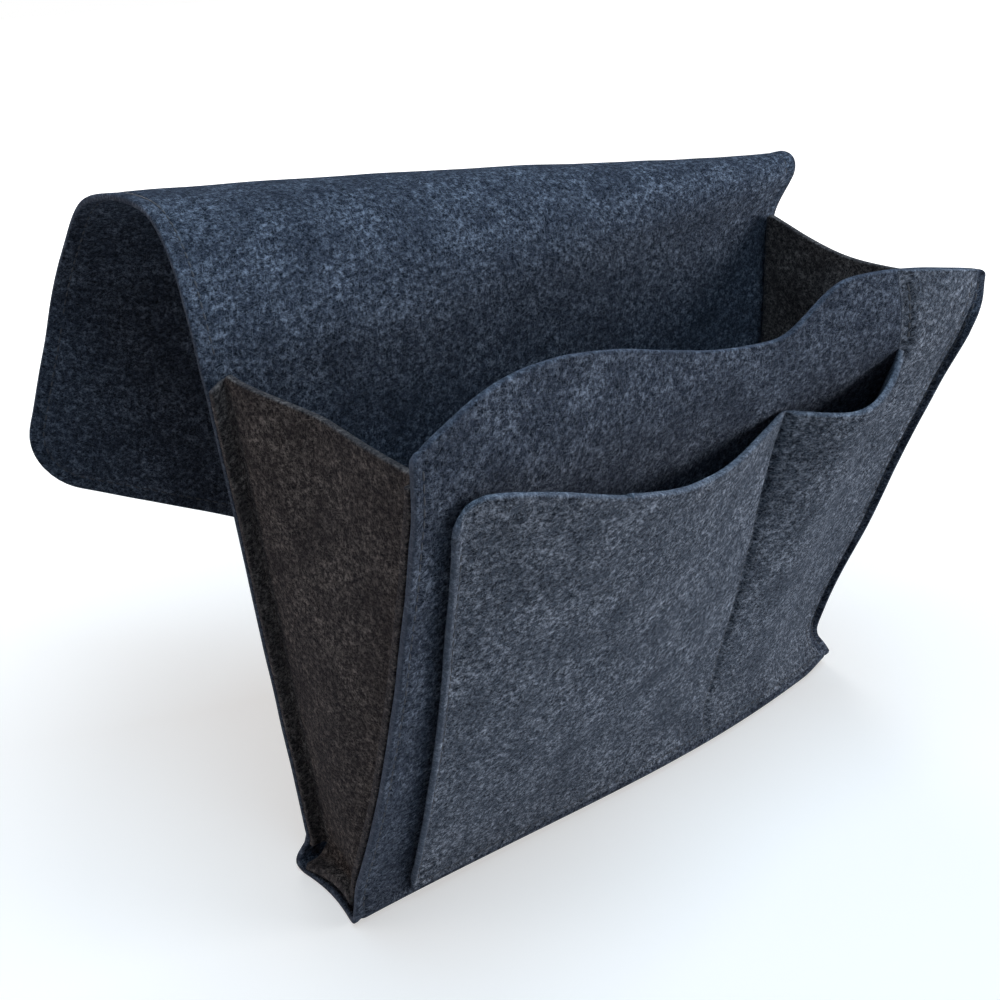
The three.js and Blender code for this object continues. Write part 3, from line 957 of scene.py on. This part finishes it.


# three copies of one felt: the sheet's darkened for painted shade, the pocket's lightened for painted light,
# the gussets' warmed and browned for painted warm shade; the last colour of each is its pale cut edge, with
# a painted highlight
shadedNavyFelt = feltMaterial("shadedNavyFelt", (55, 62, 76), (11, 13, 19), (148, 160, 180), (108, 118, 137))
litPocketFelt = feltMaterial("litPocketFelt", (75, 83, 96), (15, 17, 23), (190, 200, 218), (130, 141, 160))
warmShadedGussetFelt = feltMaterial("warmShadedGussetFelt", (64, 59, 59), (14, 12, 13), (164, 156, 152), (90, 90, 96))
thread = threadMaterial()
print("materials ready")

# mesh spacing where it differs from the felt's usual step
spacing = {
    "base": 0.004,
    "backFold": 0.0013,
    "overBed": 0.0035,
    "frontFold": 0.0012,
    "rim": 0.003,
    "gussetBend": 0.0012,
    "gussetWall": 0.0028,
    "divider": 0.0008,
    "dividerHalf": 0.006,  # reach of the fine columns on each side of the divider
    "smallPocket": 0.003,
}

# columns close to a side edge are fine enough for the seam and the raw edge
edgeOffsets = [0, 0.001, 0.002, 0.003, 0.0036, 0.004, 0.0044, 0.005, 0.0056, 0.0061]
edgeOffsets += [0.0065, 0.0069, 0.0075, 0.0085, 0.010]
topOffsets = [0.005, 0.003, 0.002, 0.001, 0]
sideColumns = joined(
    [-halfWidth + d for d in edgeOffsets],
    spaced(-halfWidth + edgeOffsets[-1], halfWidth - edgeOffsets[-1], felt["step"]),
    [halfWidth - d for d in reversed(edgeOffsets)],
)


def atSplit(*limits):
    return lambda e: any(all(abs(v.co.y - limit) < 1e-5 for v in e.verts) for limit in limits)


def turnRange(rate, place, share):  # start and end of a turn that has this share at a place
    start = place - rate * (share / rate.length_squared)
    return {"start": start, "end": start + rate / rate.length_squared}


# where the flap's turn starts and ends, from the line where the flap begins, and two points of the foot's
# bend
acrossFold = Vector((0, 1 / split["acrossFold"], 0))
flapShare = (leftFoldEnd.y - rearY - split["clear"]) / split["acrossFold"]
flapTurn = turnRange(acrossFold + downFlap / split["downFlap"], leftFoldEnd, flapShare)
frontBend = (
    (0, frontFoldY + front["turnBehind"], halfFelt),
    (0, frontFoldY - front["turnAhead"], halfFelt + front["turnHeight"]),
)


def buildLongSheet():
    splitS = footS - splitW
    keeps = atSplit(splitS, split["row"])
    onSplit = lambda p: abs(p.y - split["row"]) <= 1e-5 and abs(p.x) <= halfWidth - edgeOffsets[1]
    # no pale edge or painted highlight where the sheet's two pieces meet
    paleEdgeAndHighlight = lambda p: 0 if onSplit(p) else felt["paleEdgeAndHighlight"]
    backRows = joined(
        spaced(splitS, footS - backFoldLength, spacing["base"]),
        spaced(footS - backFoldLength, footS, spacing["backFold"]),
        spaced(footS, split["from"], felt["step"]),
        spaced(split["from"], split["row"], spacing["overBed"]),
    )
    flapRows = joined(
        spaced(split["row"], sheetEnd - edgeOffsets[-1], spacing["overBed"]),
        [sheetEnd - d for d in reversed(edgeOffsets)],
    )
    made = []
    for name, rows in (("back_sheet", backRows), ("flap_sheet", flapRows)):
        bm = cutFelt(sideColumns, rows)
        roundRim(bm, keeps)
        made.append(foldFelt(name, bm, longFold, longPattern, shadedNavyFelt, paleEdgeAndHighlight, keeps))
    back, flap = made
    tops = [flapTop(round(x, 6)) for x in spaced(-halfWidth, halfWidth, felt["step"])]
    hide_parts("back_panel", "ridge_bend")
    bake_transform(back)
    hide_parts("tuck_flap")
    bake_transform(flap)


def buildFront():
    bent, top = wrapLength + front["run"], wrapLength + front["height"]
    rows = joined(
        spaced(splitW, backFoldLength + baseRun, spacing["base"]),
        spaced(backFoldLength + baseRun, wrapLength, spacing["frontFold"]),
        spaced(wrapLength, bent, felt["step"]),
        spaced(bent, top - topOffsets[0], spacing["rim"]),
        [top - d for d in topOffsets],
    )
    bm = cutFelt(sideColumns, rows)
    roundRim(bm, atSplit(splitW))
    # the left cut edge gets a stronger painted highlight
    paleEdgeAndHighlight = lambda p: felt["leftPaleEdgeAndHighlight"] if p.x < felt["leftHighlightWidth"] - halfWidth else felt["paleEdgeAndHighlight"]
    obj = foldFelt("front_sheet", bm, frontFold, frontPattern, shadedNavyFelt, paleEdgeAndHighlight)
    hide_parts("base_panel", "front_panel")
    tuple(frontBend[0])
    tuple(frontBend[1])
    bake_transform(obj)


def buildGusset(name, node, shape):
    half = gusset["wallRef"] / 2
    margin = [0, 0.001, 0.002, 0.003, 0.004, 0.005]
    columns = joined(
        [-half - sideRun + d for d in margin],
        spaced(-half - bendLength, -half, spacing["gussetBend"]),
        spaced(-half, half, spacing["gussetWall"]),
        spaced(half, half + bendLength, spacing["gussetBend"]),
        [half + sideRun - d for d in reversed(margin)],
    )
    rows = joined(
        [-sideRun + d for d in margin],
        spaced(-bendLength, 0, spacing["gussetBend"]),
        spaced(0, wallRise - topOffsets[0], felt["step"]),
        [wallRise - d for d in topOffsets],
    )
    bm = cutFelt(columns, rows, lambda c: abs(c.x) > half and c.y < gusset["notch"])
    roundRim(bm)
    obj = foldFelt(name, bm, gussetFold(shape), gussetPattern, warmShadedGussetFelt)
    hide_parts(node)
    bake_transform(obj)


def buildPocket():
    tall = pocket["tall"]
    mouthRows = (0.008, 0.005, 0.003, 0.002, 0.001, 0)
    nearStitch = [0, 0.001, 0.002, 0.0026, 0.003, 0.0034, 0.004, 0.005, 0.007]
    beforeDivider, pastDivider = largeEnd - spacing["dividerHalf"], largeEnd + spacing["dividerHalf"]
    columns = joined(
        nearStitch,
        spaced(nearStitch[-1], beforeDivider, felt["step"]),
        spaced(beforeDivider, pastDivider, spacing["divider"]),
        spaced(pastDivider, smallEnd, spacing["smallPocket"]),
        [smallEnd + d for d in nearStitch],
        spaced(smallEnd + nearStitch[-1], pocketWidth - nearStitch[-1], spacing["smallPocket"]),
        [pocketWidth - d for d in reversed(nearStitch)],
    )
    rows = joined(
        nearStitch,
        spaced(nearStitch[-1], tall - mouthRows[0], felt["step"]),
        [tall - d for d in mouthRows],
        [tall + d for d in reversed(mouthRows)],
        spaced(tall + mouthRows[0], pocketTop - mouthRows[0], spacing["smallPocket"]),
        [pocketTop - d for d in mouthRows],
    )
    bm = cutFelt(columns, rows, lambda c: c.y > tall and c.x < smallEnd)
    roundRim(bm)
    # the left cut edge gets a stronger painted highlight
    paleEdgeAndHighlight = lambda p: felt["leftPaleEdgeAndHighlight"] if p.x < felt["leftHighlightWidth"] else felt["paleEdgeAndHighlight"]
    obj = foldFelt("pocket_piece", bm, pocketFold, pocketPattern, litPocketFelt, paleEdgeAndHighlight)
    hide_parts("pocket_panel")
    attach(obj, "front_wall")


buildLongSheet()
print("long sheet folded")
buildFront()
print("front folded")
buildGusset("gusset_left", "left_gusset", gusset["left"])
buildGusset("gusset_right", "right_gusset", gusset["right"])
print("gussets folded")
buildPocket()
print("pocket piece in place")


def buildSideSeams(label, side):
    x = side * (halfWidth - seams["inset"])
    ups = spaced(footS + seams["endGap"], gusset["backHeight"] - seams["endGap"], seams["pathStep"])
    fromB, toB = backFoldLength + seams["baseGap"], wrapLength - frontFoldLength - seams["baseGap"]
    under = spaced(fromB, toB, seams["shortStep"])
    slopes = spaced(seams["endGap"], front["height"] - seams["endGap"], seams["pathStep"])
    runs = (
        ("back", "pouch", longPlace, ups, (insideHeight, -stitchHeight)),
        ("base", "pouch", frontFold, under, (-insideHeight, stitchHeight)),
        ("front", "front_wall", frontFold, [wrapLength + s for s in slopes], (stitchHeight, -insideHeight)),
    )
    made = []
    for part, body, fold, along, heights in runs:
        run = stitchRow(f"{label}_{part}_stitches", [(x, b) for b in along], heights, fold)
        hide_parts(f"{label}_{part}_seam")
        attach(run, body)
        made.append(run)
    return made


def buildFlapStitches():
    x = halfWidth - longSheet["edgeStitch"]
    gap, step = seams["endGap"] / 2, seams["pathStep"]
    bothFaces = (stitchHeight, -stitchHeight)
    made = []
    for label, side in (("left", -1), ("right", 1)):
        start = max(gusset["backHeight"] + seams["endGap"], foldLine(side * x, 0) + gap)
        end = foldLine(side * x, 1) - gap
        path = [(side * x, s) for s in spaced(start, end, seams["ridgeStep"])]
        run = stitchRow(f"{label}_ridge_stitches", path, bothFaces, longPlace)
        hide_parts(f"{label}_ridge_stitch")
        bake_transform(run)
        made.append(run)
    turnRadius = longSheet["cornerRadius"] - longSheet["edgeStitch"]
    end = sheetEnd - longSheet["edgeStitch"]
    turns = spaced(0, pi / 2, seams["cornerStep"])

    def corner(side, turn):
        across = x - turnRadius + turnRadius * cos(turn)
        return side * across, end - turnRadius * (1 - sin(turn))

    down = spaced(foldLine(-x, 1) + gap, end - turnRadius, step)[:-1]
    left = [(-x, s) for s in down] + [corner(-1, t) for t in turns]
    across = [(a, end) for a in spaced(turnRadius - x, x - turnRadius, step)][1:-1]
    up = spaced(end - turnRadius, foldLine(x, 1) + gap, step)[1:]
    right = [corner(1, t) for t in reversed(turns)] + [(x, s) for s in up]
    path = left + across + right
    run = stitchRow("flap_stitches", path, bothFaces, longPlace)
    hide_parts("flap_stitch")
    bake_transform(run)
    made.append(run)
    return made


def buildPocketStitches():
    tall = pocket["tall"]
    inset, step = seams["pocketInset"], seams["pathStep"]
    low = inset / pocket["largeLow"] * tall
    right = pocketWidth - inset
    leftTop = tall * (1 - pocket["corner"] / pocket["leftHeight"]) - low
    top = pocketTop - 2 * low
    runs = {
        "pocket_left_seam": [(inset, b) for b in spaced(2 * low, leftTop, step)],
        "pocket_divider_seam": [(largeEnd, b) for b in spaced(2 * low, tall - low, step)],
        "pocket_right_seam": [(right, b) for b in spaced(2 * low, top, step)],
        "pocket_foot_seam": [(a, low) for a in spaced(inset, right, step)],
        "mouth_end_stitch": [(smallEnd + inset, b) for b in spaced(tall + 2 * low, top, seams["shortStep"])],
    }
    made = []
    for label, path in runs.items():
        run = stitchRow(label.replace("seam", "stitches"), path, [stitchHeight], pocketFold)
        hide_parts(label)
        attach(run, "front_wall")
        made.append(run)
    return made


rows = buildSideSeams("left", -1) + buildSideSeams("right", 1)
rows += buildFlapStitches() + buildPocketStitches()
print("stitches sewn:", len(rows), "rows")

# camera at the photograph's place
camera = {
    "place": (-0.3645, -0.4050, 0.4034),
    "azimuth": radians(-38.05),
    "elevation": radians(25.19),
    "roll": radians(-2.59),
    "focalPixels": 1268.7,
    "imagePixels": 1000,
    "sensor": 36,
    "nearest": 0.01,
}


def placeCamera():
    data = bpy.data.cameras.new("camera")
    data.sensor_width = camera["sensor"]
    data.lens = camera["focalPixels"] / camera["imagePixels"] * camera["sensor"]
    data.clip_start = camera["nearest"]
    obj = linked("camera", data)
    az, el = camera["azimuth"], camera["elevation"]
    back = Vector((sin(az) * cos(el), -cos(az) * cos(el), sin(el)))
    turned = back.to_track_quat("Z", "Y").to_matrix().to_4x4()
    obj.matrix_world = Matrix.Translation(camera["place"]) @ turned @ Matrix.Rotation(camera["roll"], 4, "Z")
    bpy.context.scene.camera = obj


placeCamera()

# pale floor, soft light
studio = {
    "world": (1.0, 0.82, 0.72),
    "worldStrength": 0.09,
    "lamps": (
        ("key", (1.25, -1.36, 0.34), 1.1, 28, (1.0, 0.98, 0.97)),
        ("top", (-0.05, -0.30, 1.45), 0.9, 15.5, (0.62, 0.83, 1.0)),
        ("left", (-1.1, 0.55, 0.45), 0.6, 2.7, (1.0, 0.84, 0.74)),
        ("rear", (0.55, 1.5, 0.75), 0.9, 9, (1.0, 0.97, 0.95)),
    ),
    "aim": (0, 0, 0.14),
    "floor": (0.62, 0.62, 0.62),
    "floorSize": 6,
    "floorDrop": 0.0003,
    "floorRoughness": 0.9,
    "glowNear": 0.48,
    "glowFar": 1.0,
    "nearReach": 0.25,
    "farReach": 1.1,
}


def seenDirectly(tree):  # by the camera, or mirrored or through glass
    ray = addNode(tree, "LightPath").outputs
    mirrored = maths(tree, "MAXIMUM", ray["Is Glossy Ray"], ray["Is Transmission Ray"])
    return maths(tree, "MAXIMUM", ray["Is Camera Ray"], mirrored)


def buildStudio():
    bm = bmesh.new()
    bmesh.ops.create_grid(bm, x_segments=1, y_segments=1, size=studio["floorSize"])
    bmesh.ops.translate(bm, verts=bm.verts[:], vec=(0, 0, -studio["floorDrop"]))
    material, tree, shader = newMaterial("paleFloor")
    shader.inputs["Base Color"].default_value = (*studio["floor"], 1)
    shader.inputs["Roughness"].default_value = studio["floorRoughness"]
    place = addNode(tree, "TexCoord").outputs["Object"]
    away = addNode(tree, "VectorMath", {0: place}, operation="LENGTH").outputs["Value"]
    values = {
        "Value": away,
        "From Min": studio["nearReach"],
        "From Max": studio["farReach"],
        "To Min": studio["glowNear"],
        "To Max": studio["glowFar"],
    }
    strength = addNode(tree, "MapRange", values).outputs[0]
    glow = addNode(tree, "Emission", {"Strength": strength, "Color": (1, 1, 1, 1)}).outputs[0]
    plain = shader.outputs[0]
    added = addNode(tree, "AddShader", {0: plain, 1: glow}).outputs[0]
    chosen = addNode(tree, "MixShader", {0: seenDirectly(tree), 1: plain, 2: added})
    tree.links.new(chosen.outputs[0], tree.nodes["Material Output"].inputs["Surface"])
    finished("floor", bm, material)

    world = bpy.data.worlds.new("studio")
    world.use_nodes = True
    tree = world.node_tree
    soft = tree.nodes["Background"]
    soft.inputs["Color"].default_value = (*studio["world"], 1)
    soft.inputs["Strength"].default_value = studio["worldStrength"]
    white = addNode(tree, "Background", {"Color": (1, 1, 1, 1), "Strength": 1}).outputs[0]
    chosen = addNode(tree, "MixShader", {0: seenDirectly(tree), 1: soft.outputs[0], 2: white})
    tree.links.new(chosen.outputs[0], tree.nodes["World Output"].inputs["Surface"])
    bpy.context.scene.world = world

    for name, place, size, power, tint in studio["lamps"]:
        data = bpy.data.lights.new(name, "AREA")
        data.shape = "DISK"
        data.size = size
        data.energy = power
        data.color = tint
        obj = linked(name, data)
        obj.location = place
        obj.rotation_euler = (Vector(place) - Vector(studio["aim"])).to_track_quat("Z", "Y").to_euler()


buildStudio()
bpy.context.scene.view_settings.view_transform = "Standard"
print("studio lit")
